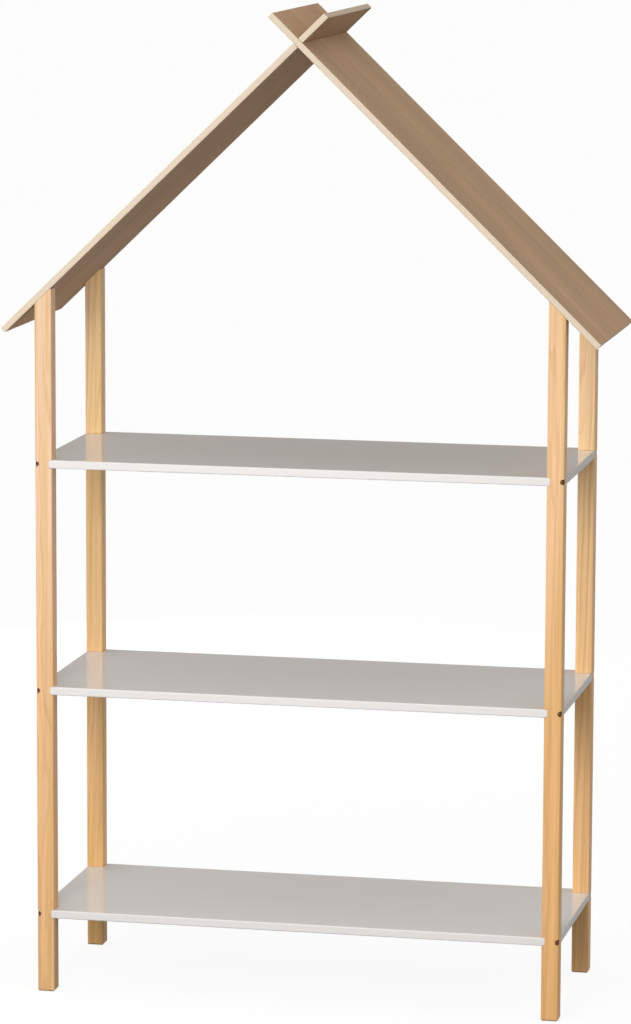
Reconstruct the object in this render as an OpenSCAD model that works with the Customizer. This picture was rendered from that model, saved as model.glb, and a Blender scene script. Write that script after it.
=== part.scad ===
// House shaped bookcase: four square posts, three shelves let into them on the diagonal,
// and two roof panels that cross and lock into each other at the ridge.
// X runs left to right, Y front to rear, Z up from the floor. The origin is on the floor
// under the middle of the case. Lengths are in millimetres and angles in degrees.

/* [Case] */
// Width of the case over the outer faces of the posts
case_w = 770; // [500:1:1000]
// Depth of the case, which is also the depth of the shelves and of the roof
case_d = 306; // [200:1:450]

/* [Posts] */
// Side of a post's square section
post_w = 25; // [23:0.5:40]
// Height of a post at its outer face, where the roof's underside meets it
post_h = 1011; // [950:1:1200]
// Radius of a post's four long edges
post_round = 2; // [1:0.5:4]
// Flat left on the tall tip of a post's mitred top
tip_flat = 2; // [0.5:0.5:5]
// Chamfer round the foot of a post
foot_chamfer = 2; // [1:0.5:4]

/* [Shelves] */
// Thickness of a shelf
shelf_t = 12; // [12:0.5:20]
// Free height between the floor and the bottom shelf
floor_clear = 110; // [60:1:160]
// Free height between two shelves
bay_h = 320; // [260:1:350]
// Wood left in a post behind a shelf's corner, measured on the diagonal
seat_depth = 14.5; // [13:0.1:17]
// Chamfer along the edges of a shelf
shelf_ease = 1; // [0.5:0.1:1.5]

/* [Roof] */
// Slope of the roof panels
roof_slope = 44; // [40:0.5:50]
// Thickness of a roof panel
roof_t = 9; // [8:0.5:15]
// Length of a panel past the posts' outer faces, down the slope
eave = 65; // [20:1:120]
// Length of a panel from the crossing up to its free upper end
ridge_stub = 56; // [25:1:90]
// Chamfer along the edges of a roof panel
roof_ease = 0.8; // [0.5:0.1:1.5]

/* [Bolts and barrel nuts] */
// Diameter of a bolt's shank
bolt_d = 5; // [4:0.5:6]
// Length of a bolt under its head
bolt_len = 35; // [33:1:45]
// Diameter of a bolt's head
bolt_head_d = 8; // [7:0.1:9]
// Height of a bolt's head with its dome
bolt_head_h = 3.8; // [3.5:0.1:4.5]
// Height of the dome on a bolt's head
bolt_dome_h = 2.6; // [2:0.1:2.8]
// How far the rim under the dome lies below the post's outer faces
head_inset = 0.3; // [0.2:0.1:1]
// Distance across the flats of the bolt's hexagon socket
socket_af = 3; // [2.5:0.5:4]
// Depth of the hexagon socket from the top of the dome
socket_deep = 2.4; // [1.5:0.1:2.5]
// Diameter of a barrel nut
nut_d = 8; // [7.5:0.5:10]
// Height of a barrel nut
nut_h = 8; // [7:0.5:9]
// Distance from a shelf's cut corner to the middle of its barrel nut
nut_in = 20; // [16:0.5:22]

/* [Roof screws] */
// Diameter of a screw's shank
screw_d = 4; // [3:0.5:5]
// Overall length of a screw
screw_len = 30; // [26:1:34]
// Diameter of a screw's countersunk head
screw_head_d = 8; // [7:0.5:9]

/* [Fits] */
// Gap between a shelf and the housing around it
shelf_fit = 0.2; // [0.1:0.05:0.5]
// Gap on each side of a panel in the other panel's slot
slot_fit = 0.15; // [0.1:0.05:0.5]
// Gap around a bolt's shank, its head and a roof screw in a through hole
hole_fit = 0.25; // [0.1:0.05:0.5]
// Gap around a threaded end, a screw in its pilot hole and a barrel nut
thread_fit = 0.1; // [0.05:0.05:0.2]

/* [Hidden] */
$fn = 48;
LEVELS = ["bottom", "middle", "top"];
CORNERS = [["front_left", -1, -1], ["front_right", 1, -1], ["rear_left", -1, 1], ["rear_right", 1, 1]];
SIDES = [["left", -1], ["right", 1]];
SHELVES = [for (level = LEVELS) str(level, "_shelf")];
POSTS = [for (corner = CORNERS) str(corner[0], "_post")];
PANELS = [for (side = SIDES) str(side[0], "_roof_panel")];
BOLTS = [for (corner = CORNERS, level = LEVELS) str(corner[0], "_", level, "_bolt")];
NUTS = [for (corner = CORNERS, level = LEVELS) str(corner[0], "_", level, "_barrel_nut")];
SCREWS = [for (corner = CORNERS) str(corner[0], "_roof_screw")];

pine = [0.96, 0.79, 0.60];
white_lacquer = [0.94, 0.93, 0.92];
roof_wood = [0.84, 0.72, 0.59];
dark_steel = [0.30, 0.22, 0.16];
zinc = [0.72, 0.73, 0.75];

over = 1; // how far a cut runs past the face that it opens
shelf_pitch = bay_h + shelf_t;
clip_at = seat_depth + shelf_fit; // a shelf's cut corner, on the diagonal from the case's corner
head_rim = bolt_head_d / 2 + head_inset * sqrt(2); // the foot of a head's dome, on the diagonal
head_top = head_rim - bolt_dome_h; // the dome's top
head_seat = head_top + bolt_head_h; // under the bolt's head
dome_r = (pow(bolt_head_d / 2, 2) + pow(bolt_dome_h, 2)) / (2 * bolt_dome_h); // of the dome's ball
bolt_end = head_seat + bolt_len;
nut_at = clip_at + nut_in;
nut_base = (shelf_t - nut_h) / 2; // a nut's lower end above its shelf's underside
nut_slot = 1.2; // width and depth of the screwdriver slot in a nut's lower end
post_top = post_h + post_w * tan(roof_slope); // the sharp tip, before its flat is cut
cross_z = post_h + case_w / 2 * tan(roof_slope) + roof_t / 2 / cos(roof_slope);
roof_run = case_w / 2 / cos(roof_slope) + eave; // from the crossing down to a panel's eave end
slot_w = roof_t * (1 / sin(2 * roof_slope) + abs(cos(2 * roof_slope) / sin(2 * roof_slope))) + 2 * slot_fit;
screw_head_h = (screw_head_d - screw_d) / 2; // a 90 degree countersink
screw_grip = screw_len - roof_t; // length of a screw in its post
screw_tip = screw_d; // length of the screw's point
drive_w = 1; // width of each arm of the screw's cross recess

// Length down the slope from the crossing to a roof screw, which crosses
// the middle of its post halfway along its grip.
screw_run = (case_w / 2 - post_w / 2) / cos(roof_slope) + tan(roof_slope) * (roof_t + screw_grip) / 2;

function shelf_z(level) = floor_clear + level * shelf_pitch; // underside of a shelf
function rect(a, b, cut) = [
    [cut, 0], [a - cut, 0], [a, cut], [a, b - cut], [a - cut, b], [cut, b], [0, b - cut], [0, cut]
];

// Places a shape drawn at a corner: there the origin is the post's outer edge,
// +X and +Y run along the case's outer faces towards the middle.
module at_corner(corner) {
    translate([corner[1] * case_w / 2, corner[2] * case_d / 2, 0])
        mirror([corner[1] > 0 ? 1 : 0, 0, 0])
            mirror([0, corner[2] > 0 ? 1 : 0, 0])
                children();
}

// Turns +Z onto the diagonal that runs inwards from a corner, at one height.
module on_diagonal(z) {
    translate([0, 0, z]) rotate([0, 0, 45]) rotate([0, 90, 0]) children();
}

// The right panel's own axes: X down the slope from the crossing, Z out of its upper face.
module on_roof() {
    translate([0, 0, cross_z]) rotate([0, roof_slope, 0]) children();
}

// The same axes seen from a corner, for what the roof and a post share.
module on_roof_at_corner() {
    translate([case_w / 2, 0, 0]) mirror([1, 0, 0]) on_roof() children();
}

module round_square(side, r) {
    translate([r, 0]) square([side - 2 * r, side]);
    translate([0, r]) square([side, side - 2 * r]);
    for (x = [r, side - r], y = [r, side - r]) translate([x, y]) circle(r);
}

// A board with chamfered long edges, centred in X and Y, with its underside at Z = 0.
module eased_board(l, w, t, ease) {
    intersection() {
        translate([-l / 2, -w / 2, 0]) rotate([90, 0, 90]) linear_extrude(l) polygon(rect(w, t, ease));
        translate([-l / 2, w / 2, 0]) rotate([90, 0, 0]) linear_extrude(w) polygon(rect(l, t, ease));
    }
}

// Diagonal cut across a post's inner corner that takes a shelf's cut corner.
module housing(level) {
    translate([0, 0, shelf_z(level)])
        rotate([0, 0, 45])
            translate([seat_depth, -post_w, 0])
                cube([2 * post_w, 2 * post_w, shelf_t + shelf_fit]);
}

// Recess for a bolt's head and the hole for its shank.
module bolt_hole(level) {
    on_diagonal(shelf_z(level) + shelf_t / 2) {
        translate([0, 0, -over]) cylinder(d = bolt_head_d + 2 * hole_fit, h = head_seat + over);
        cylinder(d = bolt_d + 2 * hole_fit, h = seat_depth + over);
    }
}

// The wedge that leaves a post's top at the roof's slope.
module mitre() {
    translate([0, 0, post_h])
        rotate([0, -roof_slope, 0])
            translate([-post_w, -over, 0])
                cube([4 * post_w, post_w + 2 * over, 2 * post_w]);
}

// The four small wedges round a post's foot.
module foot_chamfers() {
    side = foot_chamfer * sqrt(2);
    for (turn = [0:3])
        translate([post_w / 2, post_w / 2, 0])
            rotate([0, 0, 90 * turn])
                translate([post_w / 2, 0, 0])
                    rotate([0, 45, 0])
                        cube([side, post_w + 2 * over, side], center = true);
}

module pilot_hole() {
    on_roof_at_corner()
        translate([screw_run, post_w / 2, roof_t / 2 - screw_len - over])
            cylinder(d = screw_d + 2 * thread_fit, h = screw_len + 2 * over);
}

module post() {
    color(pine)
        difference() {
            linear_extrude(post_top - tip_flat) round_square(post_w, post_round);
            mitre();
            foot_chamfers();
            for (level = [0:2]) {
                housing(level);
                bolt_hole(level);
            }
            pilot_hole();
        }
}

// Hole for a bolt's shank from the cut corner inwards, and the blind hole for its nut from below.
module shelf_corner_holes() {
    on_diagonal(shelf_t / 2)
        translate([0, 0, clip_at - over])
            cylinder(d = bolt_d + 2 * hole_fit, h = bolt_end - clip_at + 2 * over);
    rotate([0, 0, 45])
        translate([nut_at, 0, -over])
            cylinder(d = nut_d + 2 * thread_fit, h = nut_base + nut_h + thread_fit + over);
}

module corner_clip() {
    rotate([0, 0, 45])
        translate([-case_d, -case_d, -over])
            cube([case_d + clip_at, 2 * case_d, shelf_t + 2 * over]);
}

module shelf(level) {
    color(white_lacquer)
        translate([0, 0, shelf_z(level)])
            difference() {
                eased_board(case_w, case_d, shelf_t, shelf_ease);
                for (corner = CORNERS)
                    at_corner(corner) {
                        corner_clip();
                        shelf_corner_holes();
                    }
            }
}

module bolt(level) {
    color(dark_steel)
        on_diagonal(shelf_z(level) + shelf_t / 2)
            difference() {
                union() {
                    intersection() {
                        translate([0, 0, head_top]) cylinder(d = bolt_head_d, h = bolt_head_h);
                        translate([0, 0, head_top + dome_r]) sphere(dome_r);
                    }
                    translate([0, 0, head_rim]) cylinder(d = bolt_d, h = bolt_end - head_rim);
                }
                translate([0, 0, head_top - over])
                    cylinder(d = socket_af / cos(30), h = socket_deep + over, $fn = 6);
            }
}

module barrel_nut(level) {
    color(zinc)
        translate([0, 0, shelf_z(level)])
            difference() {
                rotate([0, 0, 45]) translate([nut_at, 0, nut_base]) cylinder(d = nut_d, h = nut_h);
                on_diagonal(shelf_t / 2) cylinder(d = bolt_d + 2 * thread_fit, h = bolt_end + nut_d);
                rotate([0, 0, 45])
                    translate([nut_at - nut_slot / 2, -nut_d, nut_base - over])
                        cube([nut_slot, 2 * nut_d, nut_slot + over]);
            }
}

// Clearance hole and countersink for a roof screw, from the panel's middle plane.
module screw_hole() {
    translate([0, 0, -roof_t / 2 - over]) cylinder(d = screw_d + 2 * hole_fit, h = roof_t + 2 * over);
    translate([0, 0, roof_t / 2 - screw_head_h])
        cylinder(d1 = screw_d, d2 = screw_head_d, h = screw_head_h);
}

// A panel is slotted through half of the case's depth, from the rear or from the front,
// and the other panel fills the slot.
module roof_panel(slot_to_rear) {
    color(roof_wood)
        on_roof()
            difference() {
                translate([(roof_run - ridge_stub) / 2, 0, -roof_t / 2])
                    eased_board(roof_run + ridge_stub, case_d, roof_t, roof_ease);
                mirror([0, slot_to_rear ? 0 : 1, 0])
                    translate([-slot_w / 2, -slot_fit, -roof_t / 2 - over])
                        cube([slot_w, case_d / 2 + slot_fit + over, roof_t + 2 * over]);
                for (y = [-1, 1] * (case_d - post_w) / 2) translate([screw_run, y, 0]) screw_hole();
            }
}

module roof_screw() {
    color(zinc)
        on_roof_at_corner()
            translate([screw_run, post_w / 2, roof_t / 2])
                mirror([0, 0, 1])
                    difference() {
                        union() {
                            cylinder(d1 = screw_head_d, d2 = screw_d, h = screw_head_h);
                            cylinder(d = screw_d, h = screw_len - screw_tip);
                            translate([0, 0, screw_len - screw_tip])
                                cylinder(d1 = screw_d, d2 = 0.4, h = screw_tip);
                        }
                        for (turn = [0, 90])
                            rotate([0, 0, turn])
                                translate([-screw_d / 2, -drive_w / 2, -over])
                                    cube([screw_d, drive_w, screw_head_h + over]);
                    }
}

for (corner = CORNERS) {
    at_corner(corner) post();
    at_corner(corner) roof_screw();
}
for (corner = CORNERS, level = [0:2]) {
    name = str(corner[0], "_", LEVELS[level]);
    at_corner(corner) bolt(level);
    at_corner(corner) barrel_nut(level);
}
for (level = [0:2])
    shelf(level);
mirror([1, 0, 0]) roof_panel(slot_to_rear = false);  // left_roof_panel
roof_panel(slot_to_rear = true);  // right_roof_panel
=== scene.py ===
import math
import bmesh
import bpy
import numpy as np
from mathutils import Matrix, Vector


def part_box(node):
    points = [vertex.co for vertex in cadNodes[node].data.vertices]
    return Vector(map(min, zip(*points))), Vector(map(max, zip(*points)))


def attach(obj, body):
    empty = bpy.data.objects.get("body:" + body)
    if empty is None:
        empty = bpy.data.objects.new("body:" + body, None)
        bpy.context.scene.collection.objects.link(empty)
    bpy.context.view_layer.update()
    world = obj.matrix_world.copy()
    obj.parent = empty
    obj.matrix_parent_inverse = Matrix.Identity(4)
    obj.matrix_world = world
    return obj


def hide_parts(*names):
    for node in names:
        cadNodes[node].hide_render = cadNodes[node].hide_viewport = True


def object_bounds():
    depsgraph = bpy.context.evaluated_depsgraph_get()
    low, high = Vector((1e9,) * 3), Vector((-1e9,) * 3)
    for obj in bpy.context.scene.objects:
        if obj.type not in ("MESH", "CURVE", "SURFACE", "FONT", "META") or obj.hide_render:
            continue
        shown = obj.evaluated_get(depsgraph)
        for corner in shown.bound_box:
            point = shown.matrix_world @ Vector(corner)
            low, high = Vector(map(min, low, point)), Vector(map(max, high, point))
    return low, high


# House shaped bookcase, dressed on its CAD frame. Metres, Z up, the front towards -Y.

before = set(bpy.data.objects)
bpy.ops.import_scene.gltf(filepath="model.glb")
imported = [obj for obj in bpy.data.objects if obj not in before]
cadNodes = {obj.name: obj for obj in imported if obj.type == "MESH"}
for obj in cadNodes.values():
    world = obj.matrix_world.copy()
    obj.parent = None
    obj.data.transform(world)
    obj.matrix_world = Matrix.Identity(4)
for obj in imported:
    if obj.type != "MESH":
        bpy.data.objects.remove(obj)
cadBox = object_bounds()
sideSigns = {"left": -1, "right": 1}
depthSigns = {"front": -1, "rear": 1}
corners = [(depth, side) for depth in depthSigns for side in sideSigns]
levels = ["bottom", "middle", "top"]
tiny = 1e-6  # metres: points closer than this are one
print("frame loaded:", len(cadNodes), "nodes")

# How a bolt or screw is read from its CAD mesh, in shares of its length or of a radius.
reading = {
    "decimals": 7,  # vertices that agree to so many decimals of a metre are one
    "bareShank": 0.3,  # past this share of the length there is only shank
    "headEnd": 0.5,  # the whole head lies within this share
    "asWide": 0.99,  # a radius from here up counts as the full one
    "socketWide": 0.9,  # the socket lies within this share of the shank's radius
}


def nodePoints(nodeName):
    # every different vertex of a CAD node
    mesh = cadNodes[nodeName].data
    points = np.zeros(len(mesh.vertices) * 3)
    mesh.vertices.foreach_get("co", points)
    return np.unique(points.reshape(-1, 3).round(reading["decimals"]), axis=0)


def largestFaceNormal(nodeName):
    face = max(cadNodes[nodeName].data.polygons, key=lambda polygon: polygon.area)
    normal = np.array(face.normal)
    return normal * np.sign(normal[2])


def readFastener(nodeName, axis):
    # A bolt or screw from its rings: distance along the axis from the head's face, and radius.
    points = nodePoints(nodeName)
    along = points @ axis
    tip = points[along > along.max() - tiny].mean(0)
    offAxis = points - tip
    radius = np.linalg.norm(offAxis - np.outer(offAxis @ axis, axis), axis=1)
    along = along - along.min()
    length = along.max()
    shankRadius = radius[along > reading["bareShank"] * length].max()
    wide = radius > reading["asWide"] * shankRadius
    inHead = along < reading["headEnd"] * length
    inSocket = inHead & (radius < reading["socketWide"] * shankRadius)
    return {
        "headCentre": tip - axis * length,
        "axis": axis,
        "length": length,
        "faceRadius": radius[along < tiny].max(),
        "headRadius": radius.max(),
        "rimStart": along[radius > reading["asWide"] * radius.max()].min(),
        "headHeight": along[wide & inHead].max(),
        "socketDeep": along[inSocket].max(),
        "socketRadius": radius[inSocket].max(),
        "shankRadius": shankRadius,
        "tipStart": along[wide].max(),
    }


roofNormal = largestFaceNormal("right_roof_panel")
roofSlope = math.atan2(roofNormal[0], roofNormal[2])
roofHeights = nodePoints("right_roof_panel") @ roofNormal
roofThickness = np.ptp(roofHeights)
crossingHeight = (roofHeights.max() - roofThickness / 2) / roofNormal[2]
print(f"roof slope {math.degrees(roofSlope):.1f} degrees, crossing at {crossingHeight:.3f} m")

# What the finishes share. Each pattern of theirs is a noise: its stretch is cycles per metre along
# each axis, its shade what it multiplies a colour by where it is low and where it is high, and its
# stops turn it into patches. Reaches and distances are metres.
noises = {
    "roughness": 0.5,  # for a pattern that gives none
    "middle": (0.5, 0.5, 0.5),
    "low": 0.25,  # nearly all of a noise lies between these
    "high": 0.75,
}
edgeSamples = 4  # rays with which a worn edge is felt


def newMaterial(name):
    material = bpy.data.materials.new(name)
    material.use_nodes = True
    tree = material.node_tree
    tree.nodes.clear()
    output = tree.nodes.new("ShaderNodeOutputMaterial")
    shader = tree.nodes.new("ShaderNodeBsdfPrincipled")
    tree.links.new(shader.outputs[0], output.inputs[0])
    return material, tree, shader


def giveInputs(tree, node, inputs):
    # each input is a value, or another node's socket to link
    for key, value in inputs.items():
        if isinstance(value, bpy.types.NodeSocket):
            tree.links.new(value, node.inputs[key])
        else:
            node.inputs[key].default_value = value


def addNode(tree, kind, inputs=None, **settings):
    node = tree.nodes.new("ShaderNode" + kind)
    for key, value in settings.items():
        setattr(node, key, value)
    giveInputs(tree, node, inputs or {})
    return node


def calc(tree, operation, first, second=0.0, clamp=False):
    settings = {"operation": operation, "use_clamp": clamp}
    return addNode(tree, "Math", {0: first, 1: second}, **settings).outputs[0]


def summed(tree, start, *parts):
    # the start plus each part's value times its gain
    total = start
    for value, gain in parts:
        inputs = {0: value, 1: gain, 2: total}
        total = addNode(tree, "Math", inputs, operation="MULTIPLY_ADD").outputs[0]
    return total


def scaled(tree, value, gain):
    return summed(tree, 0.0, (value, gain))


def weighed(tree, start, gains, **values):
    # the start plus each value times the gain of its own name
    return summed(tree, start, *((values[name], gains[name]) for name in gains))


def vectorCalc(tree, operation, first, second):
    return addNode(tree, "VectorMath", {0: first, 1: second}, operation=operation).outputs[0]


def vectorLength(tree, vector):
    return addNode(tree, "VectorMath", {0: vector}, operation="LENGTH").outputs["Value"]


def leaning(tree, direction, towards):
    # the cosine of the angle between two directions
    inputs = {0: direction, 1: towards}
    return addNode(tree, "VectorMath", inputs, operation="DOT_PRODUCT").outputs["Value"]


def noise(tree, place, pattern, output="Fac"):
    inputs = {
        "Vector": vectorCalc(tree, "MULTIPLY", place, pattern["stretch"]),
        "Scale": 1.0,
        "Detail": pattern["detail"],
        "Roughness": pattern.get("roughness", noises["roughness"]),
    }
    return addNode(tree, "TexNoise", inputs).outputs[output]


def wandering(tree, place, pattern):
    # A slow push to and fro, up to half the reach along each axis.
    push = noise(tree, place, pattern, output="Color")
    push = vectorCalc(tree, "SUBTRACT", push, noises["middle"])
    return vectorCalc(tree, "ADD", place, vectorCalc(tree, "MULTIPLY", push, pattern["reach"]))


def ramp(tree, value, stops, smooth=False):
    # stops are (position, grey or colour)
    node = addNode(tree, "ValToRGB", {"Fac": value})
    node.color_ramp.interpolation = "EASE" if smooth else "LINEAR"
    points = node.color_ramp.elements
    while len(points) < len(stops):
        points.new(0.5)  # its place follows
    for point, (position, colour) in zip(points, stops):
        point.position = position
        point.color = (*colour, 1) if isinstance(colour, tuple) else (colour, colour, colour, 1)
    return node.outputs[0]


def patches(tree, place, pattern):
    return ramp(tree, noise(tree, place, pattern), pattern["stops"])


def mixColour(tree, share, first, second, blend="MIX"):
    # A colour is a socket, or three numbers that make an opaque one.
    node = addNode(tree, "Mix", data_type="RGBA", blend_type=blend)
    for key, colour in {6: first, 7: second}.items():
        giveInputs(tree, node, {key: (*colour, 1) if isinstance(colour, tuple) else colour})
    giveInputs(tree, node, {0: share})
    return node.outputs[2]


def tinted(tree, colour, tint):
    return mixColour(tree, 1.0, colour, tint, "MULTIPLY")


def shaded(tree, colour, value, shade):
    # Multiplies a colour by the shade's first grey up to its second, as the noise goes up.
    dark, light = shade
    return tinted(tree, colour, ramp(tree, value, [(noises["low"], dark), (noises["high"], light)]))


def mottled(tree, colour, place, pattern):
    return shaded(tree, colour, noise(tree, place, pattern), pattern["shade"])


def edgeMask(tree, wear):
    # 1 along worn edges: where the normal averaged over the reach leans away from the face's own.
    rounded = addNode(tree, "Bevel", {"Radius": wear["reach"]}, samples=edgeSamples).outputs[0]
    own = addNode(tree, "NewGeometry").outputs["True Normal"]
    away = vectorLength(tree, vectorCalc(tree, "SUBTRACT", rounded, own))
    return calc(tree, "MULTIPLY", away, wear["gain"], clamp=True)


def finishShader(tree, shader, colour, rough, relief, finish):
    # The finish gives the bump's inputs, and the shader's own inputs that are the same all over.
    bump = addNode(tree, "Bump", {"Height": relief, **finish["bump"]}).outputs[0]
    giveInputs(tree, shader, {"Base Color": colour, "Roughness": rough, "Normal": bump})
    giveInputs(tree, shader, finish["shader"])


pine = {
    # painted shade: the posts are paler at the top and darker, more golden at the foot, for the
    # dimmer light lower down
    "topWood": (0.930, 0.655, 0.415),  # paler towards the top of a post
    "footWood": (0.900, 0.535, 0.265),  # and more golden towards its foot: painted shade for the dimmer light lower down
    "climb": {  # how the one turns into the other: with the height, and in clouds
        "start": -0.3, "height": 0.9, "cloud": 0.6, "stops": [(0.2, 0.0), (0.9, 1.0)],
    },
    "lateWood": (0.73, 0.435, 0.200),
    "fleckWood": (0.42, 0.22, 0.10),
    "rubbedEdge": (0.95, 0.72, 0.47),
    "endTint": (0.72, 0.72, 0.72),
    "endFacing": [(0.5, 0.0), (0.8, 1.0)],  # how far a face of end grain looks up or down
    "acrossTrunk": (1, 1, 0),  # the directions in which the rings widen
    "ringGap": 0.0042,  # from one year's ring to the next
    "ringDepth": 0.85,
    # how much late wood there is over the year
    "ringStops": [(0.0, 0.1), (0.1, 0.0), (0.5, 0.15), (0.82, 0.75), (0.93, 1.0), (1.0, 0.1)],
    "uneven": {  # no two years are alike: the rings drift, and some are fainter
        "perYear": 0.6, "years": 1.4, "strength": [(0.3, 0.45), (0.65, 1.0)],
    },
    "wander": {  # how the rings wander off true
        "stretch": (16, 16, 2.6), "detail": 3, "roughness": 0.66, "reach": (0.011, 0.011, 0.011),
    },
    "cloud": {"stretch": (30, 30, 2.5), "detail": 2},
    "streaks": {
        "stretch": (95, 95, 1.1),
        "detail": 1,
        "stops": [(0.38, (0.995, 0.985, 0.84)), (0.62, (1.02, 1.01, 1.08))],  # golden and pinker
    },
    "bands": {"stretch": (190, 190, 1.8), "detail": 2, "shade": (0.84, 1.08)},
    "fibre": {"stretch": (900, 900, 14), "detail": 4, "roughness": 0.6, "shade": (0.94, 1.04)},
    "flecks": {"stretch": (1300, 1300, 60), "detail": 2, "stops": [(0.66, 0.0), (0.76, 0.16)]},
    "wear": {"reach": 0.0012, "gain": 0.9, "share": 0.22},
    "roughness": 0.34,
    "roughening": {"fibre": 0.16, "worn": 0.10, "endGrain": 0.2},
    "relief": {"fibre": 0.8, "ring": -0.5},
    "bump": {"Strength": 0.35, "Distance": 0.00012},
    "shader": {"IOR": 1.48, "Specular IOR Level": 0.06},
}
# Where each post's tree had its middle, from the post's own middle, how many degrees the grain
# runs out, a seed that turns and shifts the figure, and how the wood's colour differs, partly
# painted.
pineCuts = {
    "front_left": {
        "pith": (0.012, 0.058), "lean": (0.9, -0.5), "seed": 1.7, "tone": (1.0, 1.03, 1.08),
    },
    "front_right": {
        "pith": (-0.016, 0.052), "lean": (-0.7, 0.8), "seed": 6.1, "tone": (1.0, 0.97, 0.88),
    },
    # painted light: the rear posts' tones are lighter, to make up for the dimmer light at the back
    "rear_left": {
        "pith": (0.020, -0.050), "lean": (0.6, 0.9), "seed": 11.9, "tone": (1.05, 1.09, 1.05),
    },
    "rear_right": {
        "pith": (-0.022, -0.061), "lean": (-1.0, -0.4), "seed": 17.3, "tone": (1.02, 1.05, 0.98),
    },
}


def pineMaterial(corner, low, high):
    cut = pineCuts[corner]
    material, tree, shader = newMaterial("clearLacqueredPine_" + corner)
    place = addNode(tree, "TexCoord").outputs["Object"]
    middle = (low + high) / 2
    pith = (middle.x + cut["pith"][0], middle.y + cut["pith"][1], middle.z)
    turn = (math.radians(cut["lean"][0]), math.radians(cut["lean"][1]), cut["seed"])
    trunk = {"Vector": place, "Location": pith, "Rotation": turn}
    grain = addNode(tree, "Mapping", trunk, vector_type="TEXTURE").outputs[0]
    seed = (cut["seed"], 0.0, 0.0)
    seeded = vectorCalc(tree, "ADD", grain, seed)

    # rings: distance from the tree's middle, wandering slowly along the trunk
    fromPith = vectorCalc(tree, "SUBTRACT", wandering(tree, seeded, pine["wander"]), seed)
    radius = vectorLength(tree, vectorCalc(tree, "MULTIPLY", fromPith, pine["acrossTrunk"]))
    years = calc(tree, "DIVIDE", radius, pine["ringGap"])
    uneven = pine["uneven"]
    alongYears = {"W": scaled(tree, years, uneven["perYear"])}
    drift = addNode(tree, "TexNoise", alongYears, noise_dimensions="1D").outputs[0]
    years = summed(tree, years, (drift, uneven["years"]))
    ring = ramp(tree, calc(tree, "FRACT", years), pine["ringStops"])
    ring = calc(tree, "MULTIPLY", ring, ramp(tree, drift, uneven["strength"]))

    # the wood's colour: golden foot and pale top as painted shade, pinker streaks, late wood,
    # fibres, resin flecks
    climb = pine["climb"]
    height = addNode(tree, "SeparateXYZ", {0: place}).outputs["Z"]
    cloud = noise(tree, seeded, pine["cloud"])
    climbs = [(height, climb["height"] / high.z), (cloud, climb["cloud"])]
    # painted shade: how far up the post the paler top takes over from the darker foot
    climbed = ramp(tree, summed(tree, climb["start"], *climbs), climb["stops"])
    wood = mixColour(tree, climbed, pine["footWood"], pine["topWood"])
    # the post's tone, which on the rear posts is partly painted light
    wood = tinted(tree, wood, cut["tone"])
    wood = tinted(tree, wood, patches(tree, seeded, pine["streaks"]))
    wood = mixColour(tree, scaled(tree, ring, pine["ringDepth"]), wood, pine["lateWood"])
    wood = mottled(tree, wood, seeded, pine["bands"])
    fibre = noise(tree, seeded, pine["fibre"])
    wood = shaded(tree, wood, fibre, pine["fibre"]["shade"])
    wood = mixColour(tree, patches(tree, seeded, pine["flecks"]), wood, pine["fleckWood"])

    # end grain drinks the lacquer and is darker; edges are rubbed paler
    normal = addNode(tree, "TexCoord").outputs["Normal"]
    upwards = addNode(tree, "SeparateXYZ", {0: normal}).outputs["Z"]
    endGrain = ramp(tree, calc(tree, "ABSOLUTE", upwards), pine["endFacing"])
    wood = mixColour(tree, endGrain, wood, tinted(tree, wood, pine["endTint"]))
    worn = edgeMask(tree, pine["wear"])
    wood = mixColour(tree, scaled(tree, worn, pine["wear"]["share"]), wood, pine["rubbedEdge"])

    rough = weighed(
        tree, pine["roughness"], pine["roughening"], fibre=fibre, worn=worn, endGrain=endGrain,
    )
    relief = weighed(tree, 0.0, pine["relief"], fibre=fibre, ring=ring)
    finishShader(tree, shader, wood, rough, relief, pine)
    return material


lacquer = {
    "colour": (0.835, 0.826, 0.820),
    "warmer": (0.835, 0.815, 0.800),
    "wornEdge": (0.70, 0.655, 0.60),
    "cloud": {"stretch": (5, 9, 30), "detail": 3, "stops": [(0.3, 0.0), (0.7, 1.0)]},
    "dust": {"stretch": (420, 420, 420), "detail": 3, "stops": [(0.70, 1.0), (0.80, 0.93)]},
    "wear": {"reach": 0.0012, "gain": 0.8},
    "worn": {"stretch": (70, 70, 200), "detail": 4, "stops": [(0.45, 0.03), (0.62, 0.35)]},
    "smear": {"stretch": (26, 60, 60), "detail": 4, "roughness": 0.6},
    "peel": {"stretch": (380, 380, 380), "detail": 2},
    "swell": {"stretch": (45, 45, 45), "detail": 1},
    "roughening": {"smear": 0.08, "worn": 0.12},
    "relief": {"peel": 0.25, "swell": 1.0},
    "bump": {"Strength": 0.5, "Distance": 0.00008},
    "ior": 1.52,
    # the board's edges drink the lacquer and dry duller
    "parts": {
        "face": {"roughness": 0.07, "gloss": 0.5},
        "edge": {"roughness": 0.50, "gloss": 0.1},
    },
}


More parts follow.
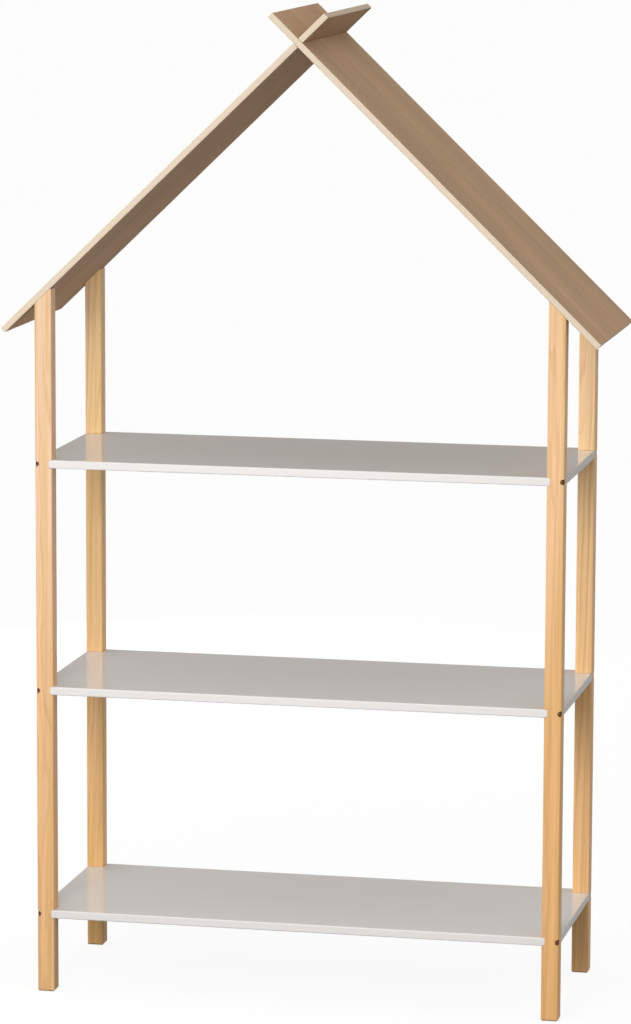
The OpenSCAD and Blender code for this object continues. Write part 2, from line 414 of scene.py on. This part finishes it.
def lacquerMaterial(part):
    coat = lacquer["parts"][part]
    material, tree, shader = newMaterial("whiteShelfLacquer_" + part)
    place = addNode(tree, "TexCoord").outputs["Object"]
    cloud = patches(tree, place, lacquer["cloud"])
    colour = mixColour(tree, cloud, lacquer["colour"], lacquer["warmer"])
    colour = tinted(tree, colour, patches(tree, place, lacquer["dust"]))
    worn = edgeMask(tree, lacquer["wear"])
    patchy = calc(tree, "MULTIPLY", worn, patches(tree, place, lacquer["worn"]))
    colour = mixColour(tree, patchy, colour, lacquer["wornEdge"])

    smear = noise(tree, place, lacquer["smear"])
    rough = weighed(tree, coat["roughness"], lacquer["roughening"], smear=smear, worn=worn)
    peel = noise(tree, place, lacquer["peel"])
    swell = noise(tree, place, lacquer["swell"])
    relief = weighed(tree, 0.0, lacquer["relief"], peel=peel, swell=swell)
    ownInputs = {"IOR": lacquer["ior"], "Specular IOR Level": coat["gloss"]}
    finishShader(tree, shader, colour, rough, relief, {**lacquer, "shader": ownInputs})
    return material


plywood = {
    "face": (0.650, 0.450, 0.295),
    "faceDark": (0.580, 0.385, 0.240),
    "pore": (0.28, 0.16, 0.09),
    "edge": (0.800, 0.690, 0.550),
    "edgeCross": (0.730, 0.600, 0.455),
    "glueLine": (0.40, 0.28, 0.18),
    "rubbedEdge": (0.82, 0.70, 0.56),
    "seed": (3.1, 1.3, 0.0),  # for each radian of the panel's lean, so that the two differ, and picked for painted shade
    "trunk": (0.0, 0.035, 0.09),  # from the tree's middle to the panel's
    "acrossTrunk": (0, 1, 1),  # the trunk lay along the slope
    "ringGap": 0.011,
    "ringDepth": 0.30,
    "ringStops": [(0.0, 0.0), (0.55, 0.2), (0.85, 0.9), (0.95, 1.0), (1.0, 0.0)],
    "wander": {"stretch": (1.6, 9, 9), "detail": 3, "reach": (0.0, 0.10, 0.05)},
    "bands": {"stretch": (2.4, 90, 90), "detail": 3, "shade": (0.90, 1.06)},
    # partly painted shade: slow clouds of tone, seeded so the right panel's face is darker by the
    # crossing than on its stub
    "cloud": {"stretch": (3.2, 8, 8), "detail": 3, "shade": (0.88, 1.12)},
    "fibre": {"stretch": (16, 700, 700), "detail": 4, "roughness": 0.6, "shade": (0.92, 1.05)},
    "pores": {"stretch": (70, 1100, 1100), "detail": 2, "stops": [(0.62, 0.0), (0.72, 1.0)]},
    "poreDepth": 0.22,
    "plies": 5,
    "crossStops": [(0.46, 0.0), (0.52, 1.0), (0.96, 1.0), (1.0, 0.0)],  # over every two plies
    "crossDepth": 0.55,
    "glueStops": [(0.0, 0.18), (0.07, 0.0)],  # over a ply, from the joint
    "speck": {"stretch": (800, 800, 800), "detail": 3, "roughness": 0.6, "shade": (0.92, 1.05)},
    "faceFacing": [(0.78, 0.0), (0.92, 1.0)],  # how squarely a face veneer looks off the board
    "wear": {"reach": 0.0010, "gain": 0.9, "share": 0.30},
    "roughness": 0.67,
    "roughening": {"fibre": 0.14, "onFace": -0.12},
    "relief": {"fibre": 0.8, "pores": -0.4},
    "bump": {"Strength": 0.35, "Distance": 0.00012},
    "shader": {"IOR": 1.48, "Specular IOR Level": 0.02},
}


def plywoodMaterial(side):
    lean = sideSigns[side] * roofSlope
    material, tree, shader = newMaterial("clearLacqueredPlywood_" + side)
    place = addNode(tree, "TexCoord").outputs["Object"]
    # the board's own axes: X along the slope, Z through its thickness
    turned = {"Vector": place, "Location": (0, 0, crossingHeight), "Rotation": (0, lean, 0)}
    board = addNode(tree, "Mapping", turned, vector_type="TEXTURE").outputs[0]
    seed = tuple(lean * part for part in plywood["seed"])
    seeded = vectorCalc(tree, "ADD", board, seed)

    # face veneer: a shallow cut through slow rings, so the figure runs in long arches downhill
    wandered = vectorCalc(tree, "SUBTRACT", wandering(tree, seeded, plywood["wander"]), seed)
    fromPith = vectorCalc(tree, "ADD", wandered, plywood["trunk"])
    radius = vectorLength(tree, vectorCalc(tree, "MULTIPLY", fromPith, plywood["acrossTrunk"]))
    years = calc(tree, "DIVIDE", radius, plywood["ringGap"])
    ring = ramp(tree, calc(tree, "FRACT", years), plywood["ringStops"], smooth=True)
    ring = scaled(tree, ring, plywood["ringDepth"])
    fibre = noise(tree, seeded, plywood["fibre"])
    pores = patches(tree, seeded, plywood["pores"])
    face = mixColour(tree, ring, plywood["face"], plywood["faceDark"])
    face = mottled(tree, face, seeded, plywood["bands"])
    # the clouds, partly painted shade near the crossing
    face = mottled(tree, face, seeded, plywood["cloud"])
    face = shaded(tree, face, fibre, plywood["fibre"]["shade"])
    face = mixColour(tree, scaled(tree, pores, plywood["poreDepth"]), face, plywood["pore"])

    # sanded edges: thin plies, every second one cut across its fibres, with glue between them
    through = addNode(tree, "SeparateXYZ", {0: board}).outputs["Z"]
    ply = summed(tree, plywood["plies"] / 2, (through, plywood["plies"] / roofThickness))
    crossPly = ramp(tree, calc(tree, "FRACT", scaled(tree, ply, 1 / 2)), plywood["crossStops"])
    fromMiddle = calc(tree, "FRACT", calc(tree, "ADD", ply, 1 / 2))
    toGlue = calc(tree, "ABSOLUTE", calc(tree, "SUBTRACT", fromMiddle, 1 / 2))
    crossPly = scaled(tree, crossPly, plywood["crossDepth"])
    edge = mixColour(tree, crossPly, plywood["edge"], plywood["edgeCross"])
    edge = mottled(tree, edge, place, plywood["speck"])
    edge = mixColour(tree, ramp(tree, toGlue, plywood["glueStops"]), edge, plywood["glueLine"])

    normal = addNode(tree, "TexCoord").outputs["Normal"]
    facing = leaning(tree, normal, (math.sin(lean), 0, math.cos(lean)))
    onFace = ramp(tree, calc(tree, "ABSOLUTE", facing), plywood["faceFacing"])
    wood = mixColour(tree, onFace, edge, face)
    worn = scaled(tree, edgeMask(tree, plywood["wear"]), plywood["wear"]["share"])
    wood = mixColour(tree, worn, wood, plywood["rubbedEdge"])

    rough = weighed(tree, plywood["roughness"], plywood["roughening"], fibre=fibre, onFace=onFace)
    relief = weighed(tree, 0.0, plywood["relief"], fibre=fibre, pores=pores)
    finishShader(tree, shader, wood, rough, relief, plywood)
    return material


metal = {
    "crystals": 900.0,  # per metre
    "mottle": {"stretch": (500, 500, 500), "detail": 4, "roughness": 0.65},
    "mottleDepth": 0.3,
    "brightness": [(0.0, 0.78), (0.45, 1.15)],
    "wear": {"reach": 0.0003, "gain": 1.4, "stops": [(0.4, 0.2), (0.6, 1.0)]},
    "roughening": {"mottle": 0.25},
    "bump": {"Strength": 0.25, "Distance": 0.00004},
    "shader": {"Metallic": 1.0},
    "kinds": {
        "bronzeBolt": {
            "colour": (0.27, 0.125, 0.042),
            "bare": (0.42, 0.25, 0.12),
            "roughness": 0.26,
            "spangle": 0.10,  # how much one crystal is brighter than another
        },
        "zincPlate": {
            "colour": (0.58, 0.59, 0.60),
            "bare": (0.74, 0.74, 0.73),
            "roughness": 0.16,
            "spangle": 0.22,
        },
    },
}


def metalMaterial(name):
    kind = metal["kinds"][name]
    material, tree, shader = newMaterial(name)
    place = addNode(tree, "TexCoord").outputs["Object"]
    cells = {"Vector": place, "Scale": metal["crystals"]}
    crystals = addNode(tree, "TexVoronoi", cells).outputs["Color"]
    tone = addNode(tree, "SeparateXYZ", {0: crystals}).outputs["X"]
    mottle = noise(tree, place, metal["mottle"])
    shade = summed(tree, 0.0, (tone, kind["spangle"]), (mottle, metal["mottleDepth"]))
    colour = tinted(tree, kind["colour"], ramp(tree, shade, metal["brightness"]))
    patchy = ramp(tree, mottle, metal["wear"]["stops"])
    rubbed = calc(tree, "MULTIPLY", edgeMask(tree, metal["wear"]), patchy)
    colour = mixColour(tree, rubbed, colour, kind["bare"])
    rough = weighed(tree, kind["roughness"], metal["roughening"], mottle=mottle)
    finishShader(tree, shader, colour, rough, mottle, metal)
    return material


lacquered = [lacquerMaterial(part) for part in lacquer["parts"]]
plywoods = {side: plywoodMaterial(side) for side in sideSigns}
bronze = metalMaterial("bronzeBolt")
zinc = metalMaterial("zincPlate")
print("materials made")

# How the long edges of posts, shelves and panels are sanded round, in metres.
sanding = {
    "post": {"radius": 0.0006, "segments": 3},
    "shelf": {"radius": 0.0007, "segments": 4},
    "panel": {"radius": 0.0005, "segments": 3},
    "shortest": 0.004,  # an edge shorter than this stays as it is
    "sharpest": math.radians(30),
    "flat": math.radians(0.2),  # faces that lean less than this to each other are one
    "upright": 0.5,  # a face whose normal climbs less than this is an upright one
}


def dressedPiece(pieceName, nodeName, mesh):
    # Puts a finished mesh in the scene in place of its CAD node.
    piece = bpy.data.objects.new(pieceName, mesh)
    bpy.context.scene.collection.objects.link(piece)
    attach(piece, "root")
    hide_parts(nodeName)
    return piece


def sandedPiece(pieceName, nodeName, kind, materials):
    # A copy of the CAD node with its long edges rounded. A second material is for upright faces.
    mesh = cadNodes[nodeName].data.copy()
    mesh.name = pieceName
    mesh.attributes.remove(mesh.attributes["custom_normal"])
    solid = bmesh.new()
    solid.from_mesh(mesh)
    bmesh.ops.remove_doubles(solid, verts=solid.verts, dist=tiny)
    bmesh.ops.dissolve_limit(
        solid, angle_limit=sanding["flat"], verts=solid.verts, edges=solid.edges,
    )
    weights = solid.edges.layers.float.new("bevel_weight_edge")
    for edge in solid.edges:
        isLong = edge.calc_length() > sanding["shortest"]
        if isLong and edge.calc_face_angle(0) > sanding["sharpest"]:
            edge[weights] = 1.0
    solid.to_mesh(mesh)
    solid.free()
    mesh.shade_smooth()
    mesh.set_sharp_from_angle(angle=sanding["sharpest"])
    mesh.materials.clear()
    for material in materials:
        mesh.materials.append(material)
    normals = np.zeros(len(mesh.polygons) * 3)
    mesh.polygons.foreach_get("normal", normals)
    upright = np.abs(normals.reshape(-1, 3)[:, 2]) < sanding["upright"]
    mesh.polygons.foreach_set("material_index", upright.astype(np.int32) * (len(materials) - 1))
    piece = dressedPiece(pieceName, nodeName, mesh)
    rounding = piece.modifiers.new("sandedEdges", "BEVEL")
    rounding.limit_method = "WEIGHT"
    rounding.width = sanding[kind]["radius"]
    rounding.segments = sanding[kind]["segments"]
    flatness = piece.modifiers.new("flatFaces", "WEIGHTED_NORMAL")
    flatness.keep_sharp = True


def camel(*words):
    joined = "".join(word.capitalize() for word in words)
    return joined[0].lower() + joined[1:]


for depth, side in corners:
    nodeName = f"{depth}_{side}_post"
    wood = pineMaterial(f"{depth}_{side}", *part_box(nodeName))
    sandedPiece(camel(depth, side, "post"), nodeName, "post", [wood])
for level in levels:
    sandedPiece(camel(level, "shelf"), f"{level}_shelf", "shelf", lacquered)
for side in sideSigns:
    pieceName = camel(side, "roof", "panel")
    sandedPiece(pieceName, f"{side}_roof_panel", "panel", [plywoods[side]])
print("posts, shelves and roof panels sanded and finished")

turning = {
    "columns": 48,
    "aside": (0.0, 1.0, 0.3),  # any direction that is no fastener's axis
    "sharpest": math.radians(40),
}
turns = np.arange(turning["columns"]) * 2 * math.pi / turning["columns"]


def hexagonOutline(cornerRadius):
    # radius of a hexagon: its flats' distance over the cosine of the angle to the nearest flat
    toFlat = np.mod(turns, math.pi / 3) - math.pi / 6
    return cornerRadius * math.cos(math.pi / 6) / np.cos(toFlat)


def crossOutline(halfWidth, reach):
    # radius of a plus sign: the arm's end near its middle line, the arm's side further round
    toArm = np.mod(turns + math.pi / 4, math.pi / 2) - math.pi / 4
    side = halfWidth / np.maximum(np.abs(np.sin(toArm)), tiny)
    return np.minimum(side, reach / np.cos(toArm))


def threadRows(start, end, radius, shape):
    # Rows of a thread: the radius less a groove whose phase is depth over pitch less angle over a
    # turn. It is deepest half way between two crests, and fades out within a pitch of each end.
    depth = np.linspace(start, end, int((end - start) / shape["pitch"] * shape["rowsPerTurn"]))
    fade = np.clip(np.minimum(depth - start, end - depth) / shape["pitch"], 0, 1)
    phase = depth[:, None] / shape["pitch"] - turns / (2 * math.pi)
    wave = (2 * np.abs(phase - np.round(phase))) ** shape["grooveShape"]
    return depth, radius - fade[:, None] * shape["threadDeep"] * wave


def turnedPiece(pieceName, nodeName, place, rows, material):
    # A closed turned surface: each row is (depth, radius at every angle), and the first and last
    # are points on the axis. A point is the axis at its depth plus its radius times its direction.
    columns = turning["columns"]
    axis = place["axis"]
    sideways = np.cross(axis, turning["aside"])
    sideways /= np.linalg.norm(sideways)
    upwards = np.cross(axis, sideways)
    directions = np.outer(np.cos(turns), sideways) + np.outer(np.sin(turns), upwards)
    depth = np.array([row[0] for row in rows])
    radius = np.array([np.broadcast_to(row[1], columns) for row in rows])
    grid = place["headCentre"] + depth[:, None, None] * axis + radius[:, :, None] * directions
    points = np.vstack([grid[0, :1], grid[1:-1].reshape(-1, 3), grid[-1, :1]])
    here = np.arange(columns)
    beside = np.roll(here, -1)
    ring = 1 + columns * np.arange(len(rows) - 3)[:, None]
    nextRing = ring + columns
    quads = np.stack([ring + here, ring + beside, nextRing + beside, nextRing + here], -1)
    first = np.stack([np.zeros(columns, int), 1 + beside, 1 + here], -1)
    lastRing = 1 + columns * (len(rows) - 3)
    lastPoint = np.full(columns, len(points) - 1)
    last = np.stack([lastPoint, lastRing + here, lastRing + beside], -1)
    faces = first.tolist() + quads.reshape(-1, 4).tolist() + last.tolist()
    mesh = bpy.data.meshes.new(pieceName)
    mesh.from_pydata(points.tolist(), [], faces)
    mesh.shade_smooth()
    mesh.set_sharp_from_angle(angle=turning["sharpest"])
    mesh.materials.append(material)
    dressedPiece(pieceName, nodeName, mesh)


bolt = {
    "domeRows": 12,
    "drillPoint": 0.0003,  # hollow in the middle of the socket's floor
    "bevel": 0.00012,
    "tipBevel": 0.0005,
    "pitch": 0.0008,
    "threadDeep": 0.00042,
    "grooveShape": 1.0,  # straight flanks
    "plain": 0.30,  # share of the shank left without thread
    "rowsPerTurn": 6,
}


def boltRows(place):
    # From the middle of the socket out over the dome, and down the threaded shank to its tip.
    # The dome is part of a ball through the head's face, at depth 0, and through its rim:
    # faceRadius^2 + middle^2 = headRadius^2 + (middle - rimStart)^2 = ball^2.
    socket = hexagonOutline(place["socketRadius"])
    deep = place["socketDeep"]
    bevel = bolt["bevel"]
    head = place["headRadius"]
    face = place["faceRadius"]
    rim = place["rimStart"]
    shank = place["shankRadius"]
    headHeight = place["headHeight"]
    length = place["length"]
    middle = (head**2 - face**2 + rim**2) / (2 * rim)
    ball = math.hypot(face, middle)
    domeRadius = np.linspace(socket.max() + bevel, head, bolt["domeRows"])
    domeDepth = middle - np.sqrt(ball**2 - domeRadius**2)
    rows = [(deep + bolt["drillPoint"], 0.0), (deep, socket), (domeDepth[0] + bevel, socket)]
    rows += list(zip(domeDepth, domeRadius))
    rows += [(headHeight - bevel, head), (headHeight, head - bevel), (headHeight, shank)]
    threadStart = headHeight + bolt["plain"] * (length - headHeight)
    depth, radius = threadRows(threadStart, length - bolt["tipBevel"], shank, bolt)
    rows += list(zip(depth, radius))
    rows += [(length, shank - bolt["tipBevel"]), (length, 0.0)]
    return rows


screw = {
    "armHalfWidth": 0.0005,
    "armReach": 0.0020,
    "armFloor": 0.45,  # the recess's floor, as a share of its size near the face
    "armMouth": 1.05,
    "recessDeep": 0.0019,
    "lip": 0.00012,  # rounding at the recess and at the head's rim
    "faceRing": 0.75,  # a ring of points on the head's flat face, as a share of its radius
    "bareTip": 0.00036,  # the thread ends so far before the point
    "tipShare": 0.1,  # how wide the thread still is at the point
    "pitch": 0.0018,
    "threadDeep": 0.00055,
    "grooveShape": 0.5,  # broad hollows between thin crests
    "plain": 0.25,
    "rowsPerTurn": 8,
}


def screwRows(place):
    # From the bottom of the cross recess over the countersunk head, and down the thread.
    cross = crossOutline(screw["armHalfWidth"], screw["armReach"])
    deep = screw["recessDeep"]
    lip = screw["lip"]
    head = place["headRadius"]
    shank = place["shankRadius"]
    headHeight = place["headHeight"]
    length = place["length"]
    rows = [(deep, 0.0), (deep - lip, cross * screw["armFloor"]), (lip, cross)]
    rows += [(0.0, cross * screw["armMouth"]), (0.0, head * screw["faceRing"])]
    rows += [(0.0, head - lip - lip / 2), (lip / 2, head - lip), (lip, head - lip)]
    rows += [(headHeight, shank)]
    threadStart = headHeight + screw["plain"] * (length - headHeight)
    depth, radius = threadRows(threadStart, length - screw["bareTip"], shank, screw)
    taper = np.clip((length - depth) / (length - place["tipStart"]), screw["tipShare"], 1)
    rows += list(zip(depth, taper[:, None] * radius))
    rows += [(length, 0.0)]
    return rows


for depth, side in corners:
    inward = np.array([-sideSigns[side], -depthSigns[depth], 0.0]) / math.sqrt(2)
    for level in levels:
        nodeName = f"{depth}_{side}_{level}_bolt"
        place = readFastener(nodeName, inward)
        pieceName = camel(depth, side, level, "bolt")
        turnedPiece(pieceName, nodeName, place, boltRows(place), bronze)
        nut = cadNodes[f"{depth}_{side}_{level}_barrel_nut"]
        nut.data.materials.clear()
        nut.data.materials.append(zinc)
    nodeName = f"{depth}_{side}_roof_screw"
    downward = -np.array([sideSigns[side] * math.sin(roofSlope), 0.0, math.cos(roofSlope)])
    place = readFastener(nodeName, downward)
    pieceName = camel(depth, side, "roof", "screw")
    turnedPiece(pieceName, nodeName, place, screwRows(place), zinc)
print("bolts, nuts and roof screws turned")

floorLook = {
    "size": 120.0,
    "grey": (0.12, 0.12, 0.12),
    "glow": 0.90,  # what the lens sees of the floor besides the light that falls on it
    "glowColour": (1, 1, 1),
    "below": 0.0005,  # under the feet
}


def makeFloor():
    half = floorLook["size"] / 2
    height = cadBox[0].z - floorLook["below"]
    mesh = bpy.data.meshes.new("floor")
    rim = [(x, y, height) for x, y in ((-half, -half), (half, -half), (half, half), (-half, half))]
    mesh.from_pydata(rim, [], [(0, 1, 2, 3)])
    floor = bpy.data.objects.new("floor", mesh)
    bpy.context.scene.collection.objects.link(floor)
    material, tree, shader = newMaterial("paleFloor")
    giveInputs(tree, shader, {"Roughness": 1.0, "Specular IOR Level": 0.0})
    giveInputs(tree, shader, {"Base Color": (*floorLook["grey"], 1)})
    giveInputs(tree, shader, {"Emission Color": (*floorLook["glowColour"], 1)})
    path = addNode(tree, "LightPath").outputs
    seen = calc(tree, "ADD", path["Is Camera Ray"], path["Is Glossy Ray"])
    seen = calc(tree, "ADD", seen, path["Is Transmission Ray"], clamp=True)
    giveInputs(tree, shader, {"Emission Strength": scaled(tree, seen, floorLook["glow"])})
    mesh.materials.append(material)


# A dim room with three broad soft lights. Each adds its strength times how far a direction leans
# towards it, to the power of its focus.
sky = {
    "room": 0.215,
    "lights": [
        {"towards": (0.0, -1.0, 0.0), "strength": 0.78, "focus": 2},
        {"towards": (-1.0, 0.0, 0.0), "strength": 1.45, "focus": 2},
        {"towards": (0.707, 0.0, 0.707), "strength": 0.80, "focus": 4},
    ],
    "tint": (1.0, 0.965, 0.925),
}


def makeSky():
    world = bpy.data.worlds.new("studioSky")
    bpy.context.scene.world = world
    world.use_nodes = True
    tree = world.node_tree
    direction = addNode(tree, "TexCoord").outputs["Generated"]
    total = sky["room"]
    for light in sky["lights"]:
        lean = calc(tree, "MAXIMUM", leaning(tree, direction, light["towards"]), 0.0)
        focused = calc(tree, "POWER", lean, light["focus"])
        total = summed(tree, total, (focused, light["strength"]))
    background = {"Strength": total, "Color": (*sky["tint"], 1)}
    giveInputs(tree, tree.nodes["Background"], background)


# Metres and watts. The fill is low and to one side, and adds little to what shows from the front.
softboxes = {
    "frontSoftbox": {
        "place": (-0.20, -2.20, 1.22),
        "aim": (0.0, 0.0, 0.60),
        "width": 1.0,
        "height": 0.97,
        "watts": 26.3,
    },
    "rearFill": {
        "place": (-1.70, 2.40, 0.40),
        "aim": (0.0, 0.0, 0.70),
        "width": 1.6,
        "height": 0.7,
        "watts": 18.0,
    },
}


def makeSoftbox(name):
    box = softboxes[name]
    light = bpy.data.lights.new(name, "AREA")
    light.shape = "RECTANGLE"
    light.size = box["width"]
    light.size_y = box["height"]
    light.energy = box["watts"]
    lamp = bpy.data.objects.new(name, light)
    lamp.location = box["place"]
    towards = Vector(box["aim"]) - Vector(box["place"])
    lamp.rotation_euler = towards.to_track_quat("-Z", "Y").to_euler()
    lamp.visible_camera = False
    lamp.visible_glossy = False  # the shelves would mirror it in views from behind
    bpy.context.scene.collection.objects.link(lamp)


view = {
    "place": (1.3937, -6.5215, 1.7532),
    "turn": 12.104,  # degrees to the left of straight ahead
    "down": 8.97,  # degrees below a level gaze
    "levelGaze": 90,  # degrees up from looking at the ground
    "roll": 0.22,
    "lens": 163.04,  # millimetres, as the sensor
    "sensor": 36,
    "farthest": 200,
}


def turnAbout(degrees, axis):
    return Matrix.Rotation(math.radians(degrees), 4, axis)


def makeCamera():
    camera = bpy.data.cameras.new("camera")
    camera.lens = view["lens"]
    camera.sensor_width = view["sensor"]
    camera.clip_end = view["farthest"]
    holder = bpy.data.objects.new("camera", camera)
    turned = turnAbout(view["turn"], "Z")
    tilted = turnAbout(view["levelGaze"] - view["down"], "X")
    rolled = turnAbout(view["roll"], "Z")
    holder.matrix_world = Matrix.Translation(view["place"]) @ turned @ tilted @ rolled
    bpy.context.scene.collection.objects.link(holder)
    bpy.context.scene.camera = holder


makeFloor()
makeSky()
for name in softboxes:
    makeSoftbox(name)
makeCamera()
bpy.context.scene.view_settings.view_transform = "Standard"
print("floor, light and camera set")
